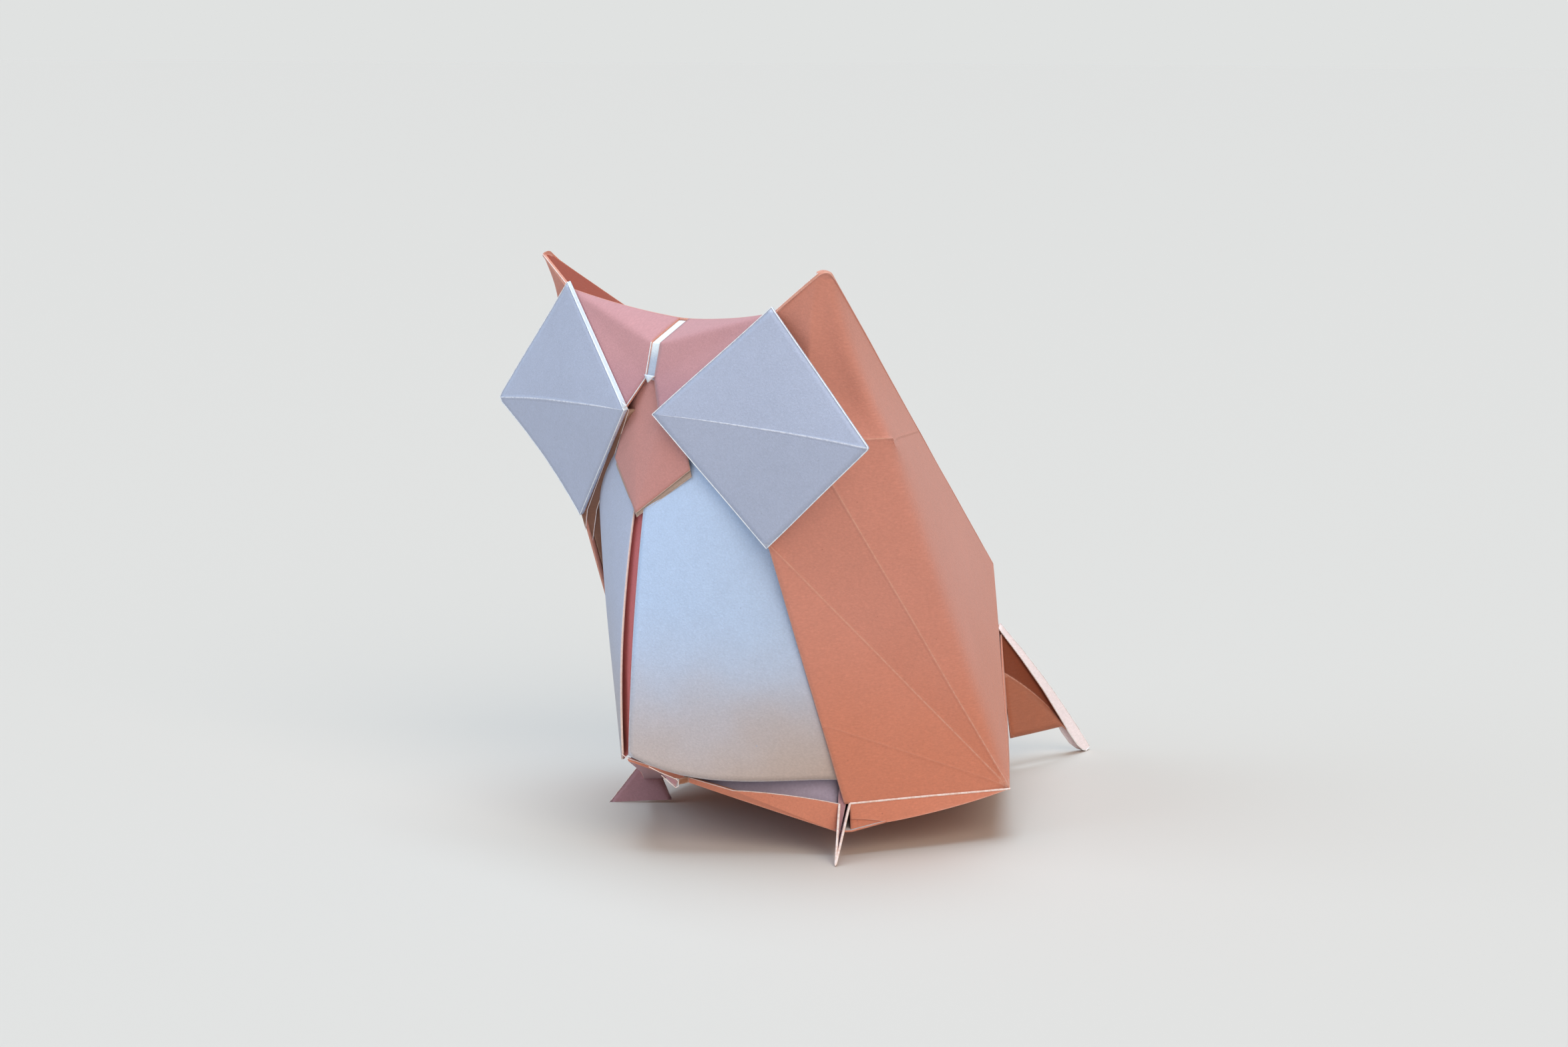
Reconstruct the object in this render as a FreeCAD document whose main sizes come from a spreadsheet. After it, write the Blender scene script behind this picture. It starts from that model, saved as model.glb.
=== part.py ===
import FreeCAD, Part
import math
import os
import Sketcher
from FreeCAD import Vector

# An owl folded from one square of paper, coloured outside and white inside.
# Millimetres. The owl faces -Y, its left side is +X, and it stands on +Z = 0
# on the points of its feet and tail. Depths along Y are measured from the foot
# points until the finished sheet is moved to its origin, the bottom centre.

FRONT_FACE_ANGLE = 45.0     # each belly face in plan, from the owl's middle plane
OFFSET_TOLERANCE = 0.001
LINING_ROWS = 8             # straight pieces of the lining's edges, which follow the belly's curve
MIDDLE_TOLERANCE = 1e-9     # points nearer the middle plane belong to both halves
SAME_PLANE = 0.999          # facets whose normals' cosine is above this count as one

# Width of the tail's sides, as a share of their widest, at shares of the ridge's length.
TAIL_OUTLINE = [(0.0, 0.42), (0.5, 0.7), (0.85, 1.0), (0.95, 0.6)]
TAIL_SIDE_SHARE = 0.98     # the tail's sides stop short of the fin's point, which the owl stands on

DIMENSIONS = [
    ("layer", 0.13, "thickness of the paper"),
    ("wall", 0.26, "thickness of two layers folded together"),
    # Plan of the body at its foot: belly, side and back faces of one half.
    ("belly_face", 21.2, "width of the belly face, from the front to the foot"),
    ("foot_depth", 3.5, "depth of the body corner over the foot point"),
    ("side_face", 18.0, "width of the side face, from the foot to the back corner"),
    ("side_angle", 70.0, "direction of the side face in plan, from +X"),
    ("rim_height", 5.3, "height of the body's lower corners"),
    ("belly_front_height", 10.1, "height of the belly's lower edge at the front"),
    ("belly_side_height", 7.7, "height of the belly's lower edge at the side"),
    ("belly_dip_height", 7.9, "height of the belly's lower edge half way"),
    ("belly_bulge", 1.0, "how far a belly half bows out"),
    ("belly_top_height", 42.0, "height of the belly's top edge, behind the beak"),
    ("belly_top_x", 12.6, "outer end of the belly's top edge, behind the eye"),
    ("belly_top_y", -4.8, "outer end of the belly's top edge, behind the eye"),
    ("belly_top_z", 41.5, "outer end of the belly's top edge, behind the eye"),
    ("slit_middle_height", 24.5, "height where the belly slit is widest"),
    ("slit_top_front", -8.9, "depth of the slit at its top"),
    ("slit_middle_front", -11.7, "depth of the slit where it is widest"),
    ("slit_bottom_front", -12.25, "depth of the slit at its foot"),
    ("slit_top_gap", 0.7, "width of the slit at its top"),
    ("slit_middle_gap", 1.75, "width of the slit where it is widest"),
    ("slit_bottom_gap", 1.0, "width of the slit at its foot"),
    ("lining_depth", 1.3, "depth of the valley fold behind the slit"),
    ("lining_width", 5.0, "width of that fold's paper"),
    # Side panel and back.
    ("shoulder_x", 21.3, "shoulder, on the fold between side and back"),
    ("shoulder_y", 3.3, "shoulder, on the fold between side and back"),
    ("shoulder_z", 42.3, "height of the shoulder crease"),
    ("eye_seat_x", 18.3, "inner end of the shoulder crease, behind the eye"),
    ("eye_seat_y", -5.0, "inner end of the shoulder crease, behind the eye"),
    ("rump_depth", 40.2, "depth of the back's lowest bend"),
    ("rump_height", 23.4, "height of the back's lowest bend"),
    ("tail_root_depth", 41.5, "depth where the tail leaves the back"),
    ("tail_root_height", 15.5, "height where the tail leaves the back"),
    # Head.
    ("ear_x", 20.9, "where the ear's edges would meet"),
    ("ear_y", -5.1, "where the ear's edges would meet"),
    ("ear_z", 59.4, "where the ear's edges would meet"),
    ("ear_blunt_front", 1.15, "how far short of that point the ear's inner edge ends"),
    ("ear_blunt_back", 1.4, "how far short of that point the back's fold ends"),
    ("ear_hollow", 0.9, "how far the ear's front is pressed in"),
    ("ear_ridge_bow", 0.75, "how far the ridge from ear to shoulder bows towards the eye"),
    ("crown_y", -4.5, "middle of the top of the head"),
    ("crown_z", 52.8, "middle of the top of the head"),
    ("brow_y", -8.2, "bend of the forehead"),
    ("brow_z", 50.6, "bend of the forehead"),
    ("brow_end_y", -9.0, "lower end of the forehead"),
    ("brow_end_z", 47.1, "lower end of the forehead"),
    ("brow_gap", 1.3, "gap between the forehead's halves"),
    ("brow_strip", 3.4, "width of the strip under that gap"),
    # Eyes: diamond flaps, folded along the crease from the inner to the outer corner.
    ("eye_width", 26.0, "width of the eye along its crease"),
    ("eye_upper_height", 11.7, "height of the eye's upper half, along the paper"),
    ("eye_lower_height", 11.7, "height of the eye's lower half, along the paper"),
    ("eye_inner_x", 2.15, "inner corner of the eye"),
    ("eye_inner_y", -10.5, "inner corner of the eye"),
    ("eye_inner_z", 43.9, "inner corner of the eye"),
    ("eye_turn", 9.5, "turn of the eye outwards, about +Z"),
    ("eye_slope", 2.6, "fall of the eye's crease, from its inner corner outwards"),
    ("eye_upper_lean", 6.7, "lean of the eye's upper half back from upright"),
    ("eye_lower_lean", 10.2, "lean of the eye's lower half back from upright"),
    # Beak.
    ("beak_tip_y", -10.8, "beak tip"),
    ("beak_tip_z", 34.0, "beak tip"),
    ("beak_corner_x", 5.7, "side corner of the beak"),
    ("beak_corner_y", -8.7, "side corner of the beak"),
    ("beak_corner_z", 38.7, "side corner of the beak"),
    ("beak_root_x", 2.6, "root of the beak, under the forehead"),
    ("beak_root_y", -8.5, "root of the beak, under the forehead"),
    ("beak_root_z", 48.2, "root of the beak, under the forehead"),
    ("beak_layer_show", 0.85, "how far the layer under the beak shows below it"),
    ("collar_width", 1.5, "widest part of the layer beside the right eye"),
    ("collar_top_width", 0.45, "width of that layer at its top"),
    ("collar_foot_height", 28.5, "height where that layer ends, on the panel's edge"),
    # Tray: the folded base that the body sits in.
    ("tray_gap", 0.45, "space between the body and the tray's rim"),
    ("tray_drop", 2.8, "depth of the tray at the feet"),
    ("tray_middle_height", 6.6, "height of the tray's rim half way along the belly face"),
    ("tray_middle_drop", 0.85, "depth of the tray half way along the belly face"),
    ("keel_front_height", 4.4, "height of the keel under the belly"),
    ("keel_height", 3.4, "height of the keel at the back"),
    ("keel_back_depth", 43.2, "depth of the keel's back end"),
    # Feet: each a valley between the tray's front and side, pinched to a point.
    ("foot_x", 17.3, "foot point"),
    ("foot_gap", 1.1, "width of the valley at the tray's rim"),
    ("heel_x", 12.5, "back end of a foot's lower edge"),
    ("heel_y", 4.6, "back end of a foot's lower edge"),
    ("heel_z", 0.4, "back end of a foot's lower edge"),
    # Tail.
    ("ridge_height", 16.6, "height of the tail's ridge at its root"),
    ("ridge_bow", 0.7, "rise of the ridge half way, over a straight line to its point"),
    ("tail_depth", 57.1, "depth of the tail point"),
    ("tail_width", 1.9, "widest part of each side of the tail"),
    ("tail_splay", 20.0, "angle of each side of the tail from upright"),
    ("fin_depth", 51.5, "back end of the lower edge of the fin under the tail"),
    ("fin_height", 3.6, "height of the fin's lower edge at that end"),
]

document = FreeCAD.newDocument("owl")
cells = document.addObject("Spreadsheet::Sheet", "Dimensions")
for row, (alias, value, note) in enumerate(DIMENSIONS, start=1):
    cells.set(f"A{row}", str(value))
    cells.setAlias(f"A{row}", alias)
    cells.set(f"B{row}", note)
document.recompute()


def size(alias):
    return float(getattr(cells, alias))


def spot(name):
    """The landmark whose three coordinates are in the spreadsheet."""
    return Vector(size(name + "_x"), size(name + "_y"), size(name + "_z"))


def plan(angle, length):
    """A level vector of that direction and length."""
    return Vector(length * math.cos(math.radians(angle)), length * math.sin(math.radians(angle)), 0)


def mirrored(point):
    return Vector(-point.x, point.y, point.z)


# --- folding -------------------------------------------------------------------------

def facet_normal(corners):
    return (corners[1] - corners[0]).cross(corners[2] - corners[0]).normalize()


def distinct(normals):
    """The normals without near repeats, so that each plane counts once at a corner."""
    kept = []
    for normal in normals:
        if all(normal.dot(other) < SAME_PLANE for other in kept):
            kept.append(normal)
    return kept


def inner_corner(point, normals, thickness):
    """The point one thickness inside every plane that meets at a corner, or nearly so."""
    mean = Vector(0, 0, 0)
    for normal in normals:
        mean += normal
    mean /= len(normals)
    return point - mean * (thickness / mean.Length ** 2)


def with_other_half(points, facets):
    """Both halves of a symmetric sheet. Points on the mirror plane are shared."""
    both = dict(points)
    names = {}
    for name, point in points.items():
        names[name] = name if abs(point.x) < MIDDLE_TOLERANCE else name + " right"
        both[names[name]] = mirrored(point)
    other = [tuple(names[name] for name in reversed(facet)) for facet in facets]
    return both, facets + other


def triangle(a, b, c):
    return Part.Face(Part.makePolygon([a, b, c, a]))


def folded_sheet(points, facets, thickness):
    """A solid sheet. Its outer side is the facets, each a triangle of point names."""
    normals = {facet: facet_normal([points[name] for name in facet]) for facet in facets}
    inner = {}
    for name in {name for facet in facets for name in facet}:
        around = distinct([normals[facet] for facet in facets if name in facet])
        inner[name] = inner_corner(points[name], around, thickness)
    faces = []
    edges = set()
    for a, b, c in facets:
        faces.append(triangle(points[a], points[b], points[c]))
        faces.append(triangle(inner[c], inner[b], inner[a]))
        edges |= {(a, b), (b, c), (c, a)}
    for a, b in sorted(edge for edge in edges if edge[::-1] not in edges):
        faces.append(triangle(points[b], points[a], inner[a]))
        faces.append(triangle(points[b], inner[a], inner[b]))
    shell = Part.makeShell(faces)
    shell.sewShape()
    solid = Part.makeSolid(shell)
    if solid.Volume < 0:
        solid.reverse()
    return solid.removeSplitter()


def add_shape(name, shape):
    feature = document.addObject("Part::Feature", name)
    feature.Shape = shape
    return feature


def add_mirror(feature):
    """The right-hand copy of a left-hand piece of the sheet."""
    copy = document.addObject("Part::Mirroring", feature.Name + "_right")
    copy.Source = feature
    copy.Base = Vector(0, 0, 0)
    copy.Normal = Vector(1, 0, 0)
    return copy


# --- landmarks -----------------------------------------------------------------------

wall = size("wall")
rim = size("rim_height")
half_diagonal = size("belly_face") * math.cos(math.radians(FRONT_FACE_ANGLE))
foot_corner = Vector(half_diagonal, size("foot_depth"), rim)
back_corner = foot_corner + plan(size("side_angle"), size("side_face"))
rim_front = foot_corner - plan(FRONT_FACE_ANGLE, size("foot_gap") / 2)
rim_side = foot_corner + plan(size("side_angle"), size("foot_gap") / 2)
tail_root = Vector(0, size("tail_root_depth"), size("tail_root_height"))
tail_tip = Vector(0, size("tail_depth"), 0)
rump = Vector(0, size("rump_depth"), size("rump_height"))
ear = spot("ear")
shoulder = spot("shoulder")
eye_seat = Vector(size("eye_seat_x"), size("eye_seat_y"), size("shoulder_z"))
half_gap = size("brow_gap") / 2
crown = Vector(half_gap, size("crown_y"), size("crown_z"))
brow = Vector(half_gap, size("brow_y"), size("brow_z"))
brow_end = Vector(half_gap, size("brow_end_y"), size("brow_end_z"))

eye_inner = spot("eye_inner")
eye_across = FreeCAD.Rotation(Vector(0, 1, 0), size("eye_slope")).multVec(Vector(1, 0, 0))
eye_across = FreeCAD.Rotation(Vector(0, 0, 1), size("eye_turn")).multVec(eye_across)
eye_up = (Vector(0, 0, 1) - eye_across * eye_across.z).normalize()
eye_middle = eye_inner + eye_across * (size("eye_width") / 2)
eye_outer = eye_inner + eye_across * size("eye_width")
lean_back = FreeCAD.Rotation(eye_across, -size("eye_upper_lean"))
eye_top = eye_middle + lean_back.multVec(eye_up) * size("eye_upper_height")
lean_back = FreeCAD.Rotation(eye_across, size("eye_lower_lean"))
eye_bottom = eye_middle - lean_back.multVec(eye_up) * size("eye_lower_height")


def towards(start, end, length):
    return start + (end - start).normalize() * length


def behind_eye(corner):
    """Where the face meets an eye's corner: inside its outline, half way through its paper."""
    return towards(corner, eye_middle, 2 * wall) + Vector(0, wall / 2, 0)


cheek = behind_eye(eye_inner)
ear_root = behind_eye(eye_top)
panel_top = behind_eye(eye_bottom)


def on_panel_edge(height):
    """The point at that height on the side panel's front edge."""
    share = (panel_top.z - height) / (panel_top.z - rim)
    return panel_top + (foot_corner - panel_top) * share


# --- pieces of the sheet ----------------------------------------------------------------

def body_sheet():
    """Back, sides, ears and forehead, open at the belly and below."""
    press = facet_normal([ear, eye_seat, shoulder]) * size("ear_hollow")
    ear_back = towards(ear, rump, size("ear_blunt_back"))
    points = {
        "ear": towards(ear, ear_root, size("ear_blunt_front")),
        "ear back": ear_back,
        "ear ridge": towards((ear_back + shoulder) * 0.5, eye_outer, size("ear_ridge_bow")),
        "ear root": ear_root,
        "ear front": (ear + shoulder + eye_seat) * (1 / 3) - press,
        "crown": crown,
        "crown middle": Vector(0, crown.y, crown.z),
        "brow": brow,
        "brow end": brow_end,
        "cheek": cheek,
        "shoulder": shoulder,
        "eye seat": eye_seat,
        "panel top": panel_top,
        "foot corner": foot_corner,
        "foot tuck": foot_corner - Vector(0, 0, 3 * wall),
        "back corner": back_corner,
        "rump": rump,
        "tail root": tail_root,
    }
    facets = [
        ("ear", "ear back", "ear root"),
        ("ear back", "rump", "ear root"),
        ("ear root", "rump", "crown"),
        ("crown", "rump", "crown middle"),
        ("ear back", "ear ridge", "rump"),
        ("ear ridge", "shoulder", "rump"),
        ("shoulder", "back corner", "rump"),
        ("rump", "back corner", "tail root"),
        ("ear", "ear front", "ear back"),
        ("ear back", "ear front", "ear ridge"),
        ("ear ridge", "ear front", "shoulder"),
        ("ear front", "eye seat", "shoulder"),
        ("ear", "ear root", "ear front"),
        ("ear root", "eye seat", "ear front"),
        ("ear root", "crown", "brow"),
        ("ear root", "brow", "brow end"),
        ("ear root", "brow end", "cheek"),
        ("ear root", "cheek", "eye seat"),
        ("cheek", "panel top", "eye seat"),
        ("shoulder", "eye seat", "back corner"),
        ("eye seat", "panel top", "back corner"),
        ("panel top", "foot corner", "back corner"),
        ("foot corner", "foot tuck", "back corner"),
    ]
    return folded_sheet(*with_other_half(points, facets), wall)


def brow_strip():
    """The layer that shows white through the gap down the forehead."""
    press = Vector(0, wall / 2, -wall / 2)
    middle = Vector(-half_gap, 0, 0)
    half = Vector(size("brow_strip") / 2 - half_gap, 0, 0)
    points = {}
    for name, point in (("crown", crown), ("brow", brow), ("end", brow_end)):
        points[name + " middle"] = point + press + middle
        points[name] = point + press + half
    facets = [
        ("crown middle", "brow middle", "crown"),
        ("crown", "brow middle", "brow"),
        ("brow middle", "end middle", "brow"),
        ("brow", "end middle", "end"),
    ]
    return folded_sheet(*with_other_half(points, facets), wall)


def beak(back, drop):
    """A kite, folded along its middle. back sets it behind another, drop lowers its edges."""
    root = spot("beak_root") + Vector(0, back, 0)
    points = {
        "root": root,
        "root middle": Vector(0, root.y, root.z),
        "corner": spot("beak_corner") + Vector(0, back, -drop),
        "tip": Vector(0, size("beak_tip_y") + back, size("beak_tip_z") - drop / 2),
    }
    facets = [("root middle", "tip", "root"), ("root", "tip", "corner")]
    return folded_sheet(*with_other_half(points, facets), wall)


def eye():
    points = {"inner": eye_inner, "outer": eye_outer, "top": eye_top, "bottom": eye_bottom}
    facets = [("inner", "outer", "top"), ("inner", "bottom", "outer")]
    return folded_sheet(points, facets, wall)


def belly_arcs():
    """The bowed lines across one half of the belly, from its top edge to its lower edge."""
    overlap = plan(size("side_angle"), 3 * wall) + plan(size("side_angle") + 90, wall / 2)
    bow = plan(-FRONT_FACE_ANGLE, size("belly_bulge"))
    top = size("belly_top_height")
    middle = size("slit_middle_height")
    bottom = size("belly_front_height")
    lower_side = on_panel_edge(size("belly_side_height")) + overlap
    rows = [
        ("slit_top", top, top, spot("belly_top")),
        ("slit_middle", middle, middle, on_panel_edge(middle) + overlap),
        ("slit_bottom", bottom, size("belly_dip_height"), lower_side),
    ]
    arcs = []
    for slit, height, dip_height, edge in rows:
        start = Vector(size(slit + "_gap") / 2, size(slit + "_front"), height)
        half_way = (start + edge) * 0.5 + bow
        half_way.z = dip_height
        arcs.append(Part.Arc(start, half_way, edge).toShape())
    return arcs


def belly_outside():
    return Part.makeLoft([Part.Wire(arc) for arc in belly_arcs()])


def belly():
    return belly_outside().makeOffsetShape(wall, OFFSET_TOLERANCE, fill=True)


def collar():
    """The inner layer that shows between the owl's right eye and its belly."""
    press = Vector(0, wall / 2, 0)
    inwards = 180 - FRONT_FACE_ANGLE
    points = {
        "top": cheek + press,
        "top inside": cheek + press + plan(inwards, size("collar_top_width")),
        "panel top": panel_top + press,
        "bend": panel_top + press + plan(inwards, size("collar_width")),
        "foot": on_panel_edge(size("collar_foot_height")) + press,
    }
    points = {name: mirrored(point) for name, point in points.items()}
    facets = [
        ("bend", "top inside", "top"),
        ("panel top", "bend", "top"),
        ("foot", "bend", "panel top"),
    ]
    return folded_sheet(points, facets, size("layer"))


def lining():
    """The valley fold behind the slit. Its sides are pasted against the belly's inside."""
    surface = belly_outside().Faces[0].Surface
    low, high = surface.bounds()[2:]
    press = plan(180 - FRONT_FACE_ANGLE, wall / 4)
    points = {}
    facets = []
    for row in range(LINING_ROWS + 1):
        across = surface.vIso(low + (high - low) * row / LINING_ROWS)
        slit = across.value(across.FirstParameter)
        side = across.value(across.parameterAtDistance(size("lining_width") / 2, across.FirstParameter))
        points[f"fold {row}"] = Vector(0, slit.y + size("lining_depth"), slit.z)
        points[f"side {row}"] = side + press
        if row:
            facets.append((f"fold {row - 1}", f"fold {row}", f"side {row - 1}"))
            facets.append((f"side {row - 1}", f"fold {row}", f"side {row}"))
    return folded_sheet(*with_other_half(points, facets), size("layer"))


def tray():
    """The base: a shallow tray whose rim stands just outside the body."""
    out = size("tray_gap")
    front = Vector(0, foot_corner.y - half_diagonal - out, size("belly_front_height") - out)
    drop = Vector(0, 0, size("tray_drop"))
    half_way = (front + rim_front) * 0.5 + plan(-FRONT_FACE_ANGLE, out / 2)
    half_way.z = size("tray_middle_height")
    inwards = plan(180 - FRONT_FACE_ANGLE, 2 * wall)
    points = {
        "front": front,
        "front low": front + Vector(0, wall, -2 * wall),
        "half way": half_way,
        "half way low": half_way + inwards - Vector(0, 0, size("tray_middle_drop")),
        "foot front": rim_front,
        "foot side": rim_side,
        "foot front low": rim_front + plan(-FRONT_FACE_ANGLE, out) - drop,
        "foot side low": rim_side + plan(size("side_angle") - 90, out) - drop,
        "back": back_corner + plan(0, wall),
        "root": tail_root + Vector(0, wall, 0),
        "keel front": Vector(0, half_way.y + half_diagonal, size("keel_front_height")),
        "keel back": Vector(0, size("keel_back_depth"), size("keel_height")),
    }
    facets = [
        ("front", "front low", "half way low"),
        ("front", "half way low", "half way"),
        ("half way", "half way low", "foot front low"),
        ("half way", "foot front low", "foot front"),
        ("foot side", "foot side low", "back"),
        ("front low", "keel front", "half way low"),
        ("half way low", "keel front", "foot front low"),
        ("foot front low", "keel front", "foot side low"),
        ("foot side low", "keel front", "back"),
        ("keel front", "keel back", "back"),
        ("back", "keel back", "root"),
    ]
    return folded_sheet(*with_other_half(points, facets), wall)


def foot():
    """A valley fold: two thin sides that meet along the foot's lower edge."""
    points = {
        "point": Vector(size("foot_x"), 0, 0),
        "heel": spot("heel"),
        "front": rim_front,
        "side": rim_side,
    }
    return folded_sheet(points, [("front", "heel", "point"), ("side", "point", "heel")], size("layer"))


def tail_side():
    """The two narrow sides of the tail, from its ridge to their raw edges."""
    root = Vector(0, size("tail_root_depth"), size("ridge_height"))
    ridge = (tail_tip - root) * TAIL_SIDE_SHARE
    splay = math.radians(size("tail_splay"))
    slope = math.atan2(-ridge.z, ridge.y)
    down = Vector(math.sin(splay), -math.sin(slope) * math.cos(splay), -math.cos(slope) * math.cos(splay))
    points = {"tip": root + ridge}
    facets = []
    for place, (share, width) in enumerate(TAIL_OUTLINE):
        rise = Vector(0, 0, size("ridge_bow") * 4 * share * (1 - share))
        points[f"ridge {place}"] = root + ridge * share + rise
        points[f"edge {place}"] = points[f"ridge {place}"] + down * (width * size("tail_width"))
        if place:
            facets.append((f"ridge {place - 1}", f"edge {place - 1}", f"ridge {place}"))
            facets.append((f"ridge {place}", f"edge {place - 1}", f"edge {place}"))
    facets.append((f"ridge {place}", f"edge {place}", "tip"))
    return folded_sheet(*with_other_half(points, facets), size("layer"))


# --- plates -----------------------------------------------------------------------------

def add_plate(name, plane_role, corners, thickness):
    """A flat piece on an origin plane. Each corner is a pair of expressions in the sheet."""
    body = document.addObject("PartDesign::Body", name)
    outline = body.newObject("Sketcher::SketchObject", name + "_outline")
    plane = next(item for item in body.Origin.OriginFeatures if item.Role == plane_role)
    outline.AttachmentSupport = (plane, [""])
    outline.MapMode = "FlatFace"
    start = [plan(360 * place / len(corners), 1) for place in range(len(corners))]
    for place in range(len(corners)):
        outline.addGeometry(Part.LineSegment(start[place - 1], start[place]))
    for place, corner in enumerate(corners):
        following = (place + 1) % len(corners)
        outline.addConstraint(Sketcher.Constraint("Coincident", place, 2, following, 1))
        for direction, expression in zip(("DistanceX", "DistanceY"), corner):
            datum = outline.addConstraint(Sketcher.Constraint(direction, -1, 1, place, 2, 1.0))
            outline.setExpression(f"Constraints[{datum}]", expression)
    pad = body.newObject("PartDesign::Pad", name + "_pad")
    pad.Profile = outline
    pad.SideType = "Symmetric"
    pad.setExpression("Length", thickness)
    return body


def add_tail_fin():
    """The upright fold under the tail's ridge, from the back of the tray to the tail point."""
    return add_plate("tail_fin", "YZ_Plane", [
        ("Dimensions.tail_root_depth - Dimensions.wall", "Dimensions.ridge_height"),
        ("Dimensions.keel_back_depth - 2 * Dimensions.wall", "Dimensions.keel_height"),
        ("Dimensions.fin_depth", "Dimensions.fin_height"),
        ("Dimensions.tail_depth", "0"),
        (
            "(Dimensions.tail_root_depth + Dimensions.tail_depth) / 2",
            "Dimensions.ridge_height / 2 + Dimensions.ridge_bow",
        ),
    ], "2 * Dimensions.layer")


# --- the owl ----------------------------------------------------------------------------

pieces = [
    add_shape("body_sheet", body_sheet()),
    add_shape("brow_strip", brow_strip()),
    add_shape("beak", beak(0, 0)),
    add_shape("beak_layer", beak(wall / 2, size("beak_layer_show"))),
    add_shape("collar", collar()),
    add_shape("lining", lining()),
    add_shape("tray", tray()),
    add_shape("tail_side", tail_side()),
    add_tail_fin(),
]
for half in (add_shape("eye", eye()), add_shape("belly", belly()), add_shape("foot", foot())):
    pieces += [half, add_mirror(half)]
owl = document.addObject("Part::MultiFuse", "owl")
owl.Shapes = pieces
owl.Label = "folded_sheet"
document.recompute()
box = owl.Shape.optimalBoundingBox(False)
owl.Placement.Base = Vector(0, -(box.YMin + box.YMax) / 2, 0)
document.recompute()

for item in document.Objects:
    if "Invalid" in item.State or "Error" in item.State:
        raise RuntimeError(f"{item.Name} failed: {item.State}")
if owl.Shape.isNull() or not owl.Shape.isValid() or len(owl.Shape.Solids) != 1:
    raise RuntimeError("the folded sheet isn't one valid solid")
os.makedirs("parts", exist_ok=True)
owl.Shape.exportStep(f"parts/{owl.Label}.step")
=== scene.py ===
import math
import bpy
import numpy as np
from mathutils import Matrix, Vector, noise


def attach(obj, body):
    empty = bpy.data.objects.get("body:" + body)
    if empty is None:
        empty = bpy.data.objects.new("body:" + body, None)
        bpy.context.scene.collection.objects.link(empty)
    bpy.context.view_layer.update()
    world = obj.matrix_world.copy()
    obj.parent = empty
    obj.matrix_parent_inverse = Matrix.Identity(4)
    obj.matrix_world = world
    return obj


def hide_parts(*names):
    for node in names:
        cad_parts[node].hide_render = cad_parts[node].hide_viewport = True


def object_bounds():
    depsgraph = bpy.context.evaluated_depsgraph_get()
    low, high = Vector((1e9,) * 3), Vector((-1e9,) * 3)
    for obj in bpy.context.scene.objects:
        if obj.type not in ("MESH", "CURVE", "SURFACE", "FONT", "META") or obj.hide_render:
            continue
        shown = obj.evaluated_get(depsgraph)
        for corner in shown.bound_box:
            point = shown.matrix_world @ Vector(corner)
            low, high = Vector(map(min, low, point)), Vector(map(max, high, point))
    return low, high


# An owl folded from one square of paper, salmon outside and white inside.
# Lengths are in millimetres until a mesh is made. Depths along Y are measured
# from the foot points, as in the part's source.

MM = 0.001
TAIL_DEPTH = 57.1          # depth of the tail point, which ends the CAD box
LAYER = 0.13               # thickness of the paper
WALL = 2 * LAYER           # two layers folded together
DETAIL = 28                # divisions along each side of a panel
EDGE_STEPS = 24            # divisions along a raw edge
WAVE_LENGTH = 9.0          # length of the paper's slow waves
FAR = 9.0                  # gap to a crease or edge that a sheet doesn't have
ON_LINE = 1e-6             # gaps under this count as none
FAINT = 0.07               # how much weaker a faint crease is
ROUNDING = 14              # how often the body's soft folds are rounded
SHARP_ANGLE = 30           # folds past this many degrees are shaded as corners
WAVE_SEED = 1              # settles the waves, which would otherwise change from run to run
EAR_HOLLOW = 1.0           # how far the front of each ear is pressed in
EAR_HOLLOW_REACH = 2.6     # how far from its edges the hollow is at its full depth
LINING_DEPTH = 0.55        # depth of the valley fold behind the slit
LINING_SHARE = 0.13        # share of a belly half's width that the valley fold takes up
THIN_WALL = 0.8 * WALL     # paper of the belly and the tray

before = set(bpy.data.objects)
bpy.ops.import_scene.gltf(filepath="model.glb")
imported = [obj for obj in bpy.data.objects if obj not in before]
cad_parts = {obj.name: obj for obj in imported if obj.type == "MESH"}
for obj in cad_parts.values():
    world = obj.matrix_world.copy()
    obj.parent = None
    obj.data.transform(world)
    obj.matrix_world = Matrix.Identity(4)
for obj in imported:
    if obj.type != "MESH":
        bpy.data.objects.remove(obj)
noise.seed_set(WAVE_SEED)
cad_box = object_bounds()
depth_origin = cad_box[1].y - TAIL_DEPTH * MM
cad_corners = [vertex.co.copy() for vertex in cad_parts["folded_sheet"].data.vertices]


def place(x, y, z):
    """A point in the row frame, in millimetres, from a depth measured at the foot points."""
    return Vector((x, y + depth_origin / MM, z))


def corner(x, y, z):
    """The corner of the CAD solid that is nearest to a place."""
    rough = place(x, y, z)
    return min((point / MM for point in cad_corners), key=lambda point: (point - rough).length)


def mirrored(vector):
    return Vector((-vector.x, vector.y, vector.z))


INWARDS = Vector((-0.7071, 0.7071, 0))     # into the owl, square to its left belly half

# --- paper sheets ------------------------------------------------------------------------

def ripple(point, height):
    """A slow uneven wave of the paper."""
    return noise.noise_vector(point / WAVE_LENGTH) * height


def line_gap(point, start, end):
    """The distance from a point to a line between two others."""
    along = end - start
    share = max(0.0, min(1.0, (point - start).dot(along) / along.length_squared))
    return (point - start - along * share).length


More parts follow.
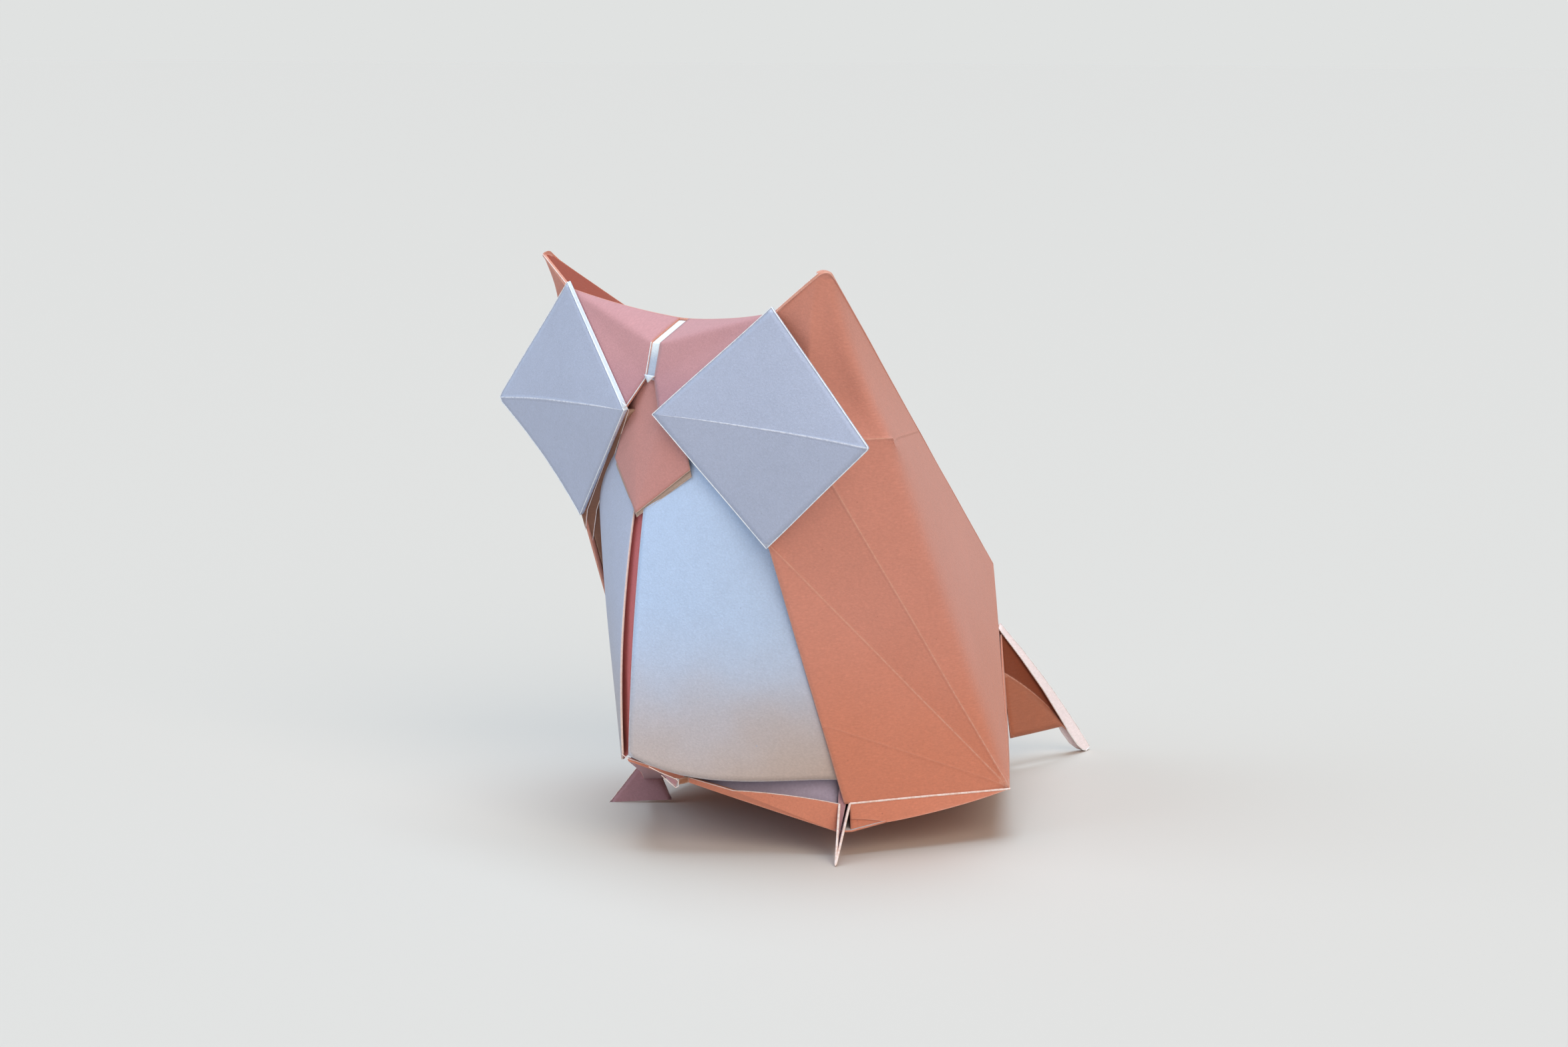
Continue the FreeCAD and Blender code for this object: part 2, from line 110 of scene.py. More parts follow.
class Fold:
    """A folded sheet of triangular panels. Panels that share two corners share that edge.

    creases are the edges with a sharp line, faint those with a weak one;
    bows bend an edge, and bulges bend a panel. softness is how often the folds without
    a crease are rounded."""

    def __init__(self, points, panels, creases=(), bows=None, bulges=None, faint=(), waviness=0.05):
        self.points = dict(points)
        self.panels = list(panels)
        self.creases = {frozenset(edge): 0.0 for edge in creases}
        self.creases.update({frozenset(edge): FAINT for edge in faint})
        self.waviness = waviness
        self.bows = {frozenset(edge): bow for edge, bow in (bows or {}).items()}
        self.bulges = dict(bulges or {})
        self.hollows = []
        self.softness = 0

    def with_other_half(self):
        """Adds the mirror image. Points on the middle plane are shared."""
        twin = {}
        for name, point in list(self.points.items()):
            twin[name] = name if abs(point.x) < ON_LINE else name + " right"
            self.points[twin[name]] = mirrored(point)

        def swap(edge):
            return frozenset(twin[name] for name in edge)

        for panel in list(self.panels):
            other = tuple(twin[name] for name in reversed(panel))
            self.panels.append(other)
            if panel in self.bulges:
                self.bulges[other] = self.bulges[panel]
        self.creases.update({swap(edge): weakness for edge, weakness in self.creases.items()})
        self.bows.update({swap(edge): mirrored(bow) for edge, bow in self.bows.items()})
        return self

    def press(self, panels, depth, reach, edges):
        """Presses panels in by depth, less within reach of the edges. It follows with_other_half()."""
        self.hollows.append((set(panels), depth, reach, edges))

    def pressed(self, panel, point):
        """How far a point of a panel is pressed in."""
        for panels, depth, reach, edges in self.hollows:
            if panel in panels:
                for a, b in edges:
                    share = line_gap(point, self.points[a], self.points[b]) / reach
                    depth = depth * min(share, 1.0) ** 2 * (3 - 2 * min(share, 1.0))
                return depth
        return Vector()

    def outline(self):
        """The edges that belong to one panel only."""
        count = {}
        for a, b, c in self.panels:
            for edge in ((a, b), (b, c), (c, a)):
                count[frozenset(edge)] = count.get(frozenset(edge), 0) + 1
        return {edge for edge, panels in count.items() if panels == 1}

    def edge_path(self, *names):
        """Points along a chain of edges, as the mesh has them."""
        path = []
        for a, b in zip(names, names[1:]):
            bow = self.bows.get(frozenset((a, b)), Vector())
            for step in range(EDGE_STEPS + 1):
                share = step / EDGE_STEPS
                point = self.points[a].lerp(self.points[b], share) + bow * (4 * share * (1 - share))
                path.append(point + ripple(point, self.waviness))
        return path

    def mesh(self, name, detail):
        """The sheet's outer side, with each panel as a triangular grid."""
        vertices, faces, index = [], [], {}
        crease_gap, edge_gap = [], []
        outline = self.outline()
        for panel in self.panels:
            a, b, c = (self.points[corner_name] for corner_name in panel)
            normal = (b - a).cross(c - a).normalized()
            area = (b - a).cross(c - a).length
            sides = [frozenset(pair) for pair in (panel[1:], (panel[2], panel[0]), panel[:2])]
            heights = [area / (c - b).length, area / (a - c).length, area / (b - a).length]
            bows = [self.bows.get(side, Vector()) for side in sides]
            bulge = normal * self.bulges.get(panel, 0.0)
            grid = {}
            for i in range(detail + 1):
                for j in range(detail + 1 - i):
                    share = (i / detail, j / detail, (detail - i - j) / detail)
                    key = self.key(panel, (i, j, detail - i - j))
                    gaps = {side: share[k] * heights[k] for k, side in enumerate(sides)}
                    to_crease = min([gap + self.creases[side] for side, gap in gaps.items()
                                     if side in self.creases], default=FAR)
                    to_edge = min([gap for side, gap in gaps.items() if side in outline], default=FAR)
                    if key not in index:
                        u, v, w = share
                        point = a * u + b * v + c * w + bulge * (27 * u * v * w)
                        point += bows[0] * (4 * v * w) + bows[1] * (4 * w * u) + bows[2] * (4 * u * v)
                        point += self.pressed(panel, point)
                        index[key] = len(vertices)
                        vertices.append(point + ripple(point, self.waviness))
                        crease_gap.append(to_crease)
                        edge_gap.append(to_edge)
                    spot = index[key]
                    crease_gap[spot] = min(crease_gap[spot], to_crease)
                    edge_gap[spot] = min(edge_gap[spot], to_edge)
                    grid[i, j] = spot
            for i in range(detail):
                for j in range(detail - i):
                    faces.append((grid[i + 1, j], grid[i, j + 1], grid[i, j]))
                    if i + j < detail - 1:
                        faces.append((grid[i + 1, j], grid[i + 1, j + 1], grid[i, j + 1]))
        vertices = self.relaxed(vertices, faces, crease_gap, edge_gap)
        return new_mesh(name, vertices, faces, crease_gap, edge_gap)

    def relaxed(self, vertices, faces, crease_gap, edge_gap):
        """Rounds the folds that have no crease, by moving each point towards its neighbours."""
        places = np.array([tuple(vertex) for vertex in vertices])
        corners = np.array(faces)
        starts = np.concatenate([corners[:, 0], corners[:, 1], corners[:, 2]])
        ends = np.concatenate([corners[:, 1], corners[:, 2], corners[:, 0]])
        count = np.zeros(len(places))
        np.add.at(count, starts, 1)
        np.add.at(count, ends, 1)
        free = (np.minimum(crease_gap, edge_gap) > ON_LINE) & (count > 0)
        for _ in range(self.softness):
            total = np.zeros_like(places)
            np.add.at(total, starts, places[ends])
            np.add.at(total, ends, places[starts])
            places[free] = 0.4 * places[free] + 0.6 * total[free] / count[free, None]
        return [Vector(place) for place in places]

    @staticmethod
    def key(panel, weights):
        """The same for every panel that has this vertex."""
        used = [(name, weight) for name, weight in zip(panel, weights) if weight]
        if len(used) == 3:
            return (panel, weights)
        return tuple(sorted(used))


def surface_mesh(name, point_at, across, down, waviness, flip=False):
    """A smooth sheet as a grid. Its outer side has across to its left when down points down."""
    vertices, faces, edge_gap = [], [], []
    for row in range(down + 1):
        for column in range(across + 1):
            u, v = column / across, row / down
            point = point_at(u, v)
            gaps = [(point - point_at(*rim)).length for rim in ((0, v), (1, v), (u, 0), (u, 1))]
            point += ripple(point, waviness)
            vertices.append(mirrored(point) if flip else point)
            edge_gap.append(min(gaps))
    for row in range(down):
        for column in range(across):
            here = row * (across + 1) + column
            face = (here, here + across + 1, here + across + 2, here + 1)
            faces.append(face[::-1] if flip else face)
    return new_mesh(name, vertices, faces, [FAR] * len(vertices), edge_gap)


def new_mesh(name, vertices, faces, crease_gap, edge_gap):
    """A mesh whose vertices know how far the nearest crease and edge are, in millimetres."""
    made = bpy.data.meshes.new(name)
    made.from_pydata([vertex * MM for vertex in vertices], [], faces)
    for label, values in (("crease_gap", crease_gap), ("edge_gap", edge_gap)):
        attribute = made.attributes.new(label, "FLOAT", "POINT")
        attribute.data.foreach_set("value", values)
    made.update()
    made.polygons.foreach_set("use_smooth", [True] * len(made.polygons))
    made.set_sharp_from_angle(angle=math.radians(SHARP_ANGLE))
    for edge in made.edges:
        if max(crease_gap[vertex] for vertex in edge.vertices) < ON_LINE:
            edge.use_edge_sharp = True
    return made


def add_piece(name, data, materials):
    """An object that takes part in the owl's look."""
    for material in materials:
        data.materials.append(material)
    piece = bpy.data.objects.new(name, data)
    bpy.context.scene.collection.objects.link(piece)
    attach(piece, "root")
    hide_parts("folded_sheet")
    return piece


def add_paper(name, fold, outside, inside, rim, thickness=WALL, detail=DETAIL):
    return add_sheet(name, fold.mesh(name, detail), outside, inside, rim, thickness)


def add_sheet(name, made, outside, inside, rim, thickness):
    """The sheet as an object. Its outer side is the mesh; the paper lies behind it."""
    paper = add_piece(name, made, (outside, inside, rim))
    solid = paper.modifiers.new("thickness", "SOLIDIFY")
    solid.thickness = thickness * MM
    solid.offset = -1
    solid.material_offset = 1
    solid.material_offset_rim = 2
    return paper


def add_edges(name, paths, radius, material):
    """Worn raw edges: thin rounded lines along paths."""
    curve = bpy.data.curves.new(name, "CURVE")
    curve.dimensions = "3D"
    curve.bevel_depth = radius * MM
    curve.bevel_resolution = 2
    curve.use_fill_caps = True
    for path in paths:
        spline = curve.splines.new("POLY")
        spline.points.add(len(path) - 1)
        for point, where in zip(spline.points, path):
            point.co = (where.x * MM, where.y * MM, max(where.z, radius * 1.1) * MM, 1)
    return add_piece(name, curve, (material,))


# --- materials ---------------------------------------------------------------------------

class Nodes:
    """A small helper to add and link shader nodes."""

    def __init__(self, material):
        material.use_nodes = True
        self.tree = material.node_tree
        self.tree.nodes.clear()

    def add(self, kind, inputs=None, **settings):
        node = self.tree.nodes.new(kind)
        for setting, value in settings.items():
            setattr(node, setting, value)
        for socket, value in (inputs or {}).items():
            self.connect(value, node.inputs[socket])
        return node

    def math(self, operation, a, b=0.0):
        return self.add("ShaderNodeMath", {0: a, 1: b}, operation=operation).outputs[0]

    def fade(self, value, low, high, at_low=1.0, at_high=0.0):
        """at_low up to low, at_high from high, and a smooth step between them."""
        inputs = {"Value": value, "From Min": low, "From Max": high, "To Min": at_low, "To Max": at_high}
        node = self.add("ShaderNodeMapRange", inputs, interpolation_type="SMOOTHSTEP")
        return node.outputs["Result"]

    def noise(self, where, size, detail=2.0, roughness=0.5):
        """Noise whose features are about that many millimetres."""
        inputs = {"Vector": where, "Scale": 1 / (size * MM), "Detail": detail, "Roughness": roughness}
        return self.add("ShaderNodeTexNoise", inputs).outputs["Fac"]

    def mix(self, factor, a, b, blend="MIX"):
        inputs = {"Factor": factor, "A": a, "B": b}
        node = self.add("ShaderNodeMix", data_type="RGBA", blend_type=blend)
        for socket in node.inputs:
            if socket.name == "Factor" and socket.type == "VALUE" and socket.enabled:
                self.connect(inputs["Factor"], socket)
            if socket.name in ("A", "B") and socket.type == "RGBA":
                self.connect(inputs[socket.name], socket)
        return next(output for output in node.outputs if output.type == "RGBA")

    def connect(self, value, socket):
        if isinstance(value, bpy.types.NodeSocket):
            self.tree.links.new(value, socket)
        else:
            socket.default_value = value


def fibres(nodes, where, turn):
    """Fine fibres that lie along one direction, as values from 0 to 1."""
    turned = nodes.add("ShaderNodeMapping", {"Vector": where, "Rotation": turn, "Scale": (1.0, 0.16, 1.0)})
    return nodes.noise(turned.outputs["Vector"], 0.16, 1.0)


FIBRE_DEPTH = 0.10         # depth of the fibres' relief
RIDGE_DEPTH = 0.10         # height of the ridge along a crease


def make_paper(name, colour, fleck, crease, tint=(1.0, 0.88, 0.74), axis="Z", span=(12, 32)):
    """Matt paper: mottled colour, fibres, flecks, and wear along creases and edges.

    tint is painted light and shade: it changes the colour below the first of two places along an axis, and
    less up to the second. By default it paints warm light on the lower parts."""
    colour, fleck, crease, tint = ((*part, 1) for part in (colour, fleck, crease, tint))
    material = bpy.data.materials.new(name)
    nodes = Nodes(material)
    where = nodes.add("ShaderNodeTexCoord").outputs["Object"]
    tone = nodes.noise(where, 11.0, 2.0)
    mottle = nodes.noise(where, 1.6, 3.0, 0.6)
    grain = nodes.noise(where, 0.28, 2.0, 0.7)
    one_way, other_way = fibres(nodes, where, (0.3, 0.5, 0.9)), fibres(nodes, where, (1.1, -0.7, 2.2))
    strands = nodes.math("MULTIPLY", one_way, other_way)

    shade = nodes.math("MULTIPLY_ADD", tone, 0.10)
    nodes.tree.nodes[-1].inputs[2].default_value = 0.95
    for pattern, middle, strength in ((mottle, 0.5, 0.10), (grain, 0.5, 0.16), (strands, 0.25, 0.30)):
        change = nodes.math("MULTIPLY", nodes.math("SUBTRACT", pattern, middle), strength)
        shade = nodes.math("ADD", shade, change)
    grey = nodes.add("ShaderNodeCombineColor", {0: shade, 1: shade, 2: shade}).outputs["Color"]
    base = nodes.mix(1.0, colour, grey, "MULTIPLY")
    # The tint is painted light and shade, laid on by place along the axis.
    along = nodes.add("ShaderNodeSeparateXYZ", {0: where}).outputs[axis]
    uneven = nodes.math("ADD", along, nodes.math("MULTIPLY", tone, (span[1] - span[0]) * 0.4 * MM))
    painted_light_share = nodes.fade(uneven, span[0] * MM, span[1] * MM)
    base = nodes.mix(painted_light_share, base, nodes.mix(1.0, base, tint, "MULTIPLY"))

    cell_inputs = {"Vector": where, "Scale": 1 / (1.3 * MM), "Randomness": 1.0}
    cells = nodes.add("ShaderNodeTexVoronoi", cell_inputs)
    near = nodes.fade(cells.outputs["Distance"], 0.03, 0.09)
    chosen = nodes.add("ShaderNodeSeparateColor", {0: cells.outputs["Color"]}).outputs["Red"]
    chosen = nodes.math("GREATER_THAN", chosen, 0.72)
    base = nodes.mix(nodes.math("MULTIPLY", nodes.math("MULTIPLY", near, chosen), 0.55), base, fleck)

    crease_gap = nodes.add("ShaderNodeAttribute", attribute_name="crease_gap").outputs["Fac"]
    edge_gap = nodes.add("ShaderNodeAttribute", attribute_name="edge_gap").outputs["Fac"]
    broken = nodes.fade(nodes.noise(where, 0.5, 2.0, 0.8), 0.35, 0.6, 0.35, 1.0)
    worn_crease = nodes.math("MULTIPLY", nodes.fade(crease_gap, 0.02, 0.12), broken)
    worn_edge = nodes.math("MULTIPLY", nodes.fade(edge_gap, 0.0, 0.16), nodes.math("MULTIPLY", broken, 0.5))
    worn = nodes.math("MAXIMUM", worn_crease, worn_edge)
    base = nodes.mix(worn, base, crease)

    relief = nodes.math("MULTIPLY", grain, 0.5)
    for pattern, strength in ((strands, 0.8), (mottle, 0.6)):
        relief = nodes.math("ADD", relief, nodes.math("MULTIPLY", pattern, strength))
    fine = nodes.add("ShaderNodeBump", {"Height": relief, "Strength": 0.35, "Distance": FIBRE_DEPTH * MM})
    ridge = nodes.fade(crease_gap, 0.0, 0.32)
    folded = nodes.add("ShaderNodeBump", {
        "Height": ridge, "Strength": 0.6, "Distance": RIDGE_DEPTH * MM, "Normal": fine.outputs["Normal"],
    })
    rough = nodes.fade(mottle, 0.3, 0.7, 0.80, 0.92)
    shader = nodes.add("ShaderNodeBsdfPrincipled", {
        "Base Color": base, "Roughness": rough, "Normal": folded.outputs["Normal"],
        "Specular IOR Level": 0.30, "Sheen Weight": 0.12, "Sheen Roughness": 0.5,
    })
    nodes.add("ShaderNodeOutputMaterial", {"Surface": shader.outputs["BSDF"]})
    return material


# The separate tones stand for the light that reaches each place, beside the two colours of the paper.
SALMON, SALMON_FLECK, SALMON_CREASE = (0.60, 0.25, 0.19), (0.38, 0.14, 0.10), (0.66, 0.33, 0.25)
WORN_WHITE = (0.72, 0.74, 0.84)
SHADE_TINT = (1.0, 0.95, 0.95)

# Salmon paper, with painted warm light on its lower parts from the default tint.
salmon = make_paper("salmon_paper", SALMON, SALMON_FLECK, SALMON_CREASE)
# The forehead's salmon is painted with cool light, and with painted shade below the brow.
brow_painted_light = make_paper(
    "salmon_brow_painted_light", (0.54, 0.27, 0.285), SALMON_FLECK, SALMON_CREASE, (0.86, 0.86, 0.92), "Z", (46.0, 51.0))
# The back's salmon is painted deep red towards the ears, as shade inside them, fading further back.
back_painted_shade = make_paper(
    "salmon_back_painted_shade", SALMON, SALMON_FLECK, SALMON_CREASE, (0.54, 0.22, 0.14), "Y", (-21.0, -10.0))
# The fin is salmon paper painted in shade: deep above its bend, lighter below it.
fin_deep_shade = make_paper("salmon_fin", (0.21, 0.052, 0.022), (0.14, 0.04, 0.02), (0.36, 0.15, 0.10))
fin_foot_shade = make_paper("salmon_fin_foot", (0.38, 0.145, 0.095), (0.30, 0.10, 0.07), (0.56, 0.28, 0.21))
# The beak's salmon is painted with cool light.
beak_painted_light = make_paper("salmon_beak_painted_light", (0.53, 0.245, 0.225), SALMON_FLECK, SALMON_CREASE)
# The slit's lining is salmon painted deep red, as shade inside the slit.
slit_painted_shade = make_paper("salmon_slit_painted_shade", (0.54, 0.15, 0.16), (0.38, 0.10, 0.10), (0.70, 0.35, 0.35))
# The white reverse is painted grey-blue, as white paper in shade under cool light, with painted warm light
# on its lower parts.
white = make_paper("white_reverse", (0.43, 0.47, 0.61), (0.32, 0.34, 0.44), WORN_WHITE, (1.0, 0.84, 0.66))
# The left belly half is white paper painted with cool light above and warm light below.
belly_painted_light = make_paper(
    "white_belly_painted_light", (0.46, 0.58, 0.80), (0.36, 0.44, 0.60), WORN_WHITE, (1.12, 0.72, 0.47), "Z", (10.0, 30.0))
# White paper painted as lit, for folds and edges that face the light.
painted_lit_white = make_paper(
    "white_fold", (0.63, 0.68, 0.78), (0.55, 0.58, 0.64), (0.85, 0.88, 0.92), (1.0, 0.84, 0.72))
# The white strip in the forehead's gap is painted lit above and in shade below.
gap_painted_light = make_paper(
    "white_gap_painted_light", (0.80, 0.85, 0.88), (0.62, 0.66, 0.70), (0.90, 0.92, 0.94),
    (0.56, 0.60, 0.72), "Z", (49.0, 51.0))
lilac = make_paper("white_in_shade", (0.42, 0.38, 0.50), (0.32, 0.29, 0.38), (0.55, 0.50, 0.60), SHADE_TINT)
mauve = make_paper("foot_in_shade", (0.42, 0.24, 0.27), (0.30, 0.17, 0.19), (0.60, 0.45, 0.48), SHADE_TINT)
brown = make_paper("shaded_layer", (0.25, 0.12, 0.08), (0.17, 0.08, 0.05), (0.55, 0.38, 0.30))
# The beak's lower layer is painted tan, as paper in the beak's shade.
tan = make_paper("beak_layer", (0.42, 0.31, 0.26), (0.28, 0.19, 0.15), (0.60, 0.45, 0.38))
# The tail's white sides are painted brighter and pinker, as lit white paper.
tail_painted_light = make_paper(
    "tail_reverse_painted_light", (0.90, 0.80, 0.84), (0.56, 0.46, 0.50), (0.88, 0.82, 0.84), (1.0, 0.98, 0.96))
raw = make_paper("raw_edge", (0.74, 0.56, 0.54), (0.55, 0.36, 0.32), (0.88, 0.76, 0.74))

# --- landmarks ---------------------------------------------------------------------------

ear = corner(20.26, -5.34, 58.66) + Vector((-0.12, 0.0, -0.36))
ear_back = corner(20.47, -4.22, 58.6) + Vector((0.0, 0.1, -0.36))
shoulder = corner(21.3, 3.3, 42.3)
eye_seat = corner(18.3, -5.0, 42.3)
foot_corner = corner(15.0, 3.5, 5.3)
back_corner = corner(21.15, 20.4, 5.3)
rump = corner(0.0, 40.2, 23.4)
tail_root = corner(0.0, 41.5, 15.5)
tail_tip = place(0.0, TAIL_DEPTH, 0.0)
crown = corner(0.65, -4.5, 52.8)
brow = corner(0.65, -8.2, 50.6)
brow_end = corner(0.65, -9.0, 47.1)
eye_inner = corner(2.15, -10.5, 43.9)
eye_outer = corner(27.77, -6.21, 42.72)
eye_top = corner(15.25, -6.92, 54.92)
eye_bottom = corner(14.1, -6.4, 31.8)
eye_middle = (eye_inner + eye_outer) / 2
rim_front = corner(14.61, 3.11, 5.3)
rim_side = corner(15.18, 4.02, 5.3)
rim_back = corner(21.4, 20.4, 5.3)

# The right-hand eye and ear are not quite the mirror image of the left ones.
RIGHT_EAR = Vector((-0.7, -0.5, -0.25))
RIGHT_EYE_TOP = Vector((0.0, 0.0, 0.6))


def towards(start, end, length):
    return start + (end - start).normalized() * length


def behind_eye(eye_corner):
    """Just inside an eye's corner, behind its paper."""
    return towards(eye_corner, eye_middle, 2 * WALL) + Vector((0, WALL, 0))


cheek = behind_eye(eye_inner)
ear_root = behind_eye(eye_top)
panel_top = behind_eye(eye_bottom)


def on_panel_edge(height):
    """The point at that height on the left side panel's front edge."""
    share = (panel_top.z - height) / (panel_top.z - foot_corner.z)
    return panel_top.lerp(foot_corner, share)


# --- the sheet's pieces ------------------------------------------------------------------

raw_edges, thin_edges, rim_edges, white_edges = [], [], [], []


def body():
    """Back, sides, ears and forehead."""
    points = {
        "ear": ear, "ear back": ear_back, "ear root": ear_root, "crown": crown,
        "crown middle": Vector((0, crown.y, crown.z)), "brow": brow, "brow end": brow_end,
        "cheek": cheek, "shoulder": shoulder, "eye seat": eye_seat, "panel top": panel_top,
        "foot corner": foot_corner, "back corner": back_corner, "rump": rump, "tail root": tail_root,
        "back crease": ear_back.lerp(rump, 0.5), "panel crease": on_panel_edge(13.4),
    }
    top = [
        ("ear", "ear back", "ear root"), ("ear back", "back crease", "ear root"),
        ("back crease", "rump", "ear root"), ("ear root", "rump", "crown"),
        ("crown", "rump", "crown middle"),
    ]
    forehead = [
        ("ear root", "crown", "brow"), ("ear root", "brow", "brow end"), ("ear root", "brow end", "cheek"),
    ]
    panels = [
        ("ear back", "shoulder", "back crease"), ("shoulder", "rump", "back crease"),
        ("shoulder", "back corner", "rump"), ("rump", "back corner", "tail root"),
        ("ear", "eye seat", "ear back"), ("ear back", "eye seat", "shoulder"),
        ("ear", "ear root", "eye seat"), ("ear root", "cheek", "eye seat"),
        ("cheek", "panel top", "eye seat"), ("shoulder", "eye seat", "back corner"),
        ("eye seat", "panel top", "back corner"), ("panel top", "panel crease", "back corner"),
        ("panel crease", "foot corner", "back corner"),
    ]
    creases = [
        ("crown", "ear root"), ("ear back", "back crease"), ("back crease", "rump"),
        ("rump", "crown middle"), ("shoulder", "eye seat"), ("eye seat", "back corner"),
        ("panel top", "back corner"), ("rump", "back corner"), ("ear", "ear root"),
        ("ear", "ear back"), ("rump", "tail root"),
    ]
    bows = {
        ("ear back", "shoulder"): (eye_middle - ear_back.lerp(shoulder, 0.5)).normalized() * 0.8,
        ("shoulder", "back corner"): Vector((0.15, -0.1, 0.05)),
        ("ear root", "crown"): Vector((0, 0, -0.25)),
        ("ear", "ear back"): Vector((0, 0, 0.24)),
    }
    bulges = {
        ("ear root", "crown", "brow"): 0.12,
        ("panel top", "panel crease", "back corner"): 0.12,
        ("shoulder", "back corner", "rump"): 0.2,
        ("ear root", "rump", "crown"): -0.25,
    }
    faint = [("shoulder", "back crease"), ("panel crease", "back corner")]
    parts = (("back_top", top, back_painted_shade), ("forehead", forehead, brow_painted_light), ("body", panels, salmon))
    for name, part, paper in parts:
        fold = Fold(points, part, creases, bows, bulges, faint).with_other_half()
        for moved in ("ear right", "ear back right"):
            fold.points[moved] += RIGHT_EAR
        fold.points["ear root right"] += RIGHT_EYE_TOP
        press_ears(fold)
        fold.softness = ROUNDING
        add_paper(name, fold, paper, salmon, salmon)
    for side in ("", " right"):
        raw_edges.append(fold.edge_path("ear" + side, "ear root" + side))
    white_edges.append(fold.edge_path("brow right", "brow end right", "cheek right"))


def press_ears(fold):
    """Hollows the front of each ear."""
    for side, flip in (("", False), (" right", True)):
        panels = [
            ("ear", "eye seat", "ear back"), ("ear back", "eye seat", "shoulder"),
            ("ear", "ear root", "eye seat"),
        ]
        depth = (eye_seat - ear).cross(shoulder - ear).normalized() * -EAR_HOLLOW
        if flip:
            panels = [tuple(name + side for name in reversed(panel)) for panel in panels]
            depth = mirrored(depth)
        edges = [("ear back", "shoulder"), ("shoulder", "eye seat"), ("ear", "ear root")]
        fold.press(panels, depth, EAR_HOLLOW_REACH, [(a + side, b + side) for a, b in edges])


def brow_strip():
    """The white layer in the gap down the forehead, and the sheet's corners at its foot."""
    press = Vector((0, LAYER, -LAYER))
    points = {}
    for name, point in (("crown", crown), ("brow", brow), ("end", brow_end)):
        points[name + " middle"] = Vector((0, point.y, point.z)) + press
        points[name] = Vector((1.7, point.y, point.z)) + press
    panels = [
        ("crown middle", "brow middle", "crown"), ("crown", "brow middle", "brow"),
        ("brow middle", "end middle", "brow"), ("brow", "end middle", "end"),
    ]
    fold = Fold(points, panels).with_other_half()
    add_paper("brow_strip", fold, gap_painted_light, white, raw, LAYER, 8)
    corners = {
        "a": place(-0.6, -9.2, 47.5), "b": place(0.15, -9.4, 46.75), "c": place(0.9, -9.15, 47.45),
        "d": place(-2.55, -10.4, 44.75), "e": place(-1.95, -10.3, 44.4), "f": place(-2.4, -10.5, 44.0),
    }
    fold = Fold(corners, [("a", "b", "c"), ("d", "f", "e")])
    add_paper("raw_corners", fold, painted_lit_white, painted_lit_white, raw, LAYER, 4)


def beak():
    """Two kites, one on the other."""
    root = corner(2.6, -8.5, 48.2)
    side, tip = corner(5.7, -8.7, 38.7), corner(0.0, -10.8, 34.0)
    for name, back, drop in (("beak", 0.0, 0.0), ("beak_layer", WALL / 2, 0.7)):
        points = {
            "root": root + Vector((0, back, 0)), "root middle": Vector((0, root.y + back, root.z)),
            "side": side + Vector((0, back, -drop)), "tip": tip + Vector((0, back, -drop / 2)),
        }
        panels = [("root middle", "tip", "root"), ("root", "tip", "side")]
        fold = Fold(points, panels, bulges={("root", "tip", "side"): 0.15}).with_other_half()
        # The lower layer is painted tan, as paper in the beak's shade.
        add_paper(name, fold, tan if drop else beak_painted_light, tan, tan, WALL / 2)
        thin_edges.append(fold.edge_path("tip", "side"))


def eyes():
    """Diamond flaps, each with blunt outer corners."""
    for side, flip, blunt, layers in (("left", False, 0.35, 1.0), ("right", True, 0.8, 1.6)):
        points = {
            "inner": eye_inner, "top": eye_top, "bottom": eye_bottom,
            "outer": towards(eye_outer, eye_inner, blunt * 0.35),
            "outer up": towards(eye_outer, eye_top, blunt),
            "outer low": towards(eye_outer, eye_bottom, blunt),
        }
        panels = [
            ("inner", "outer", "outer up"), ("inner", "outer up", "top"),
            ("inner", "bottom", "outer low"), ("inner", "outer low", "outer"),
        ]
        bend = Vector((0, -0.05, 0.3))
        bows = {("inner", "outer"): bend}
        bows.update({("inner", "outer up"): bend * 0.95, ("inner", "outer low"): bend * 0.95})
        if flip:
            points = {name: mirrored(point) for name, point in points.items()}
            points["top"] += RIGHT_EYE_TOP
            panels = [panel[::-1] for panel in panels]
            bows[("bottom", "outer low")] = Vector((0.4, 0, 0.3))
        bulges = {panel: 0.10 for panel in panels if "top" in panel or "bottom" in panel}
        fold = Fold(points, panels, [("inner", "outer")], bows, bulges)
        add_paper("eye_" + side, fold, white, white, white, WALL * layers)
        rim = ("inner", "top", "outer up", "outer", "outer low", "bottom", "inner")
        white_edges.append(fold.edge_path(*rim))
        if flip:
            aside = Vector((0.34, 0.22, 0.2))
            band = {"top": fold.points["top"], "inner": fold.points["inner"]}
            band["top side"] = fold.points["top"] + aside * 0.7
            band["inner side"] = fold.points["inner"] + aside
            panels = [("inner", "inner side", "top"), ("top", "inner side", "top side")]
            add_paper("eye_fold", Fold(band, panels), painted_lit_white, painted_lit_white, painted_lit_white, LAYER, 10)


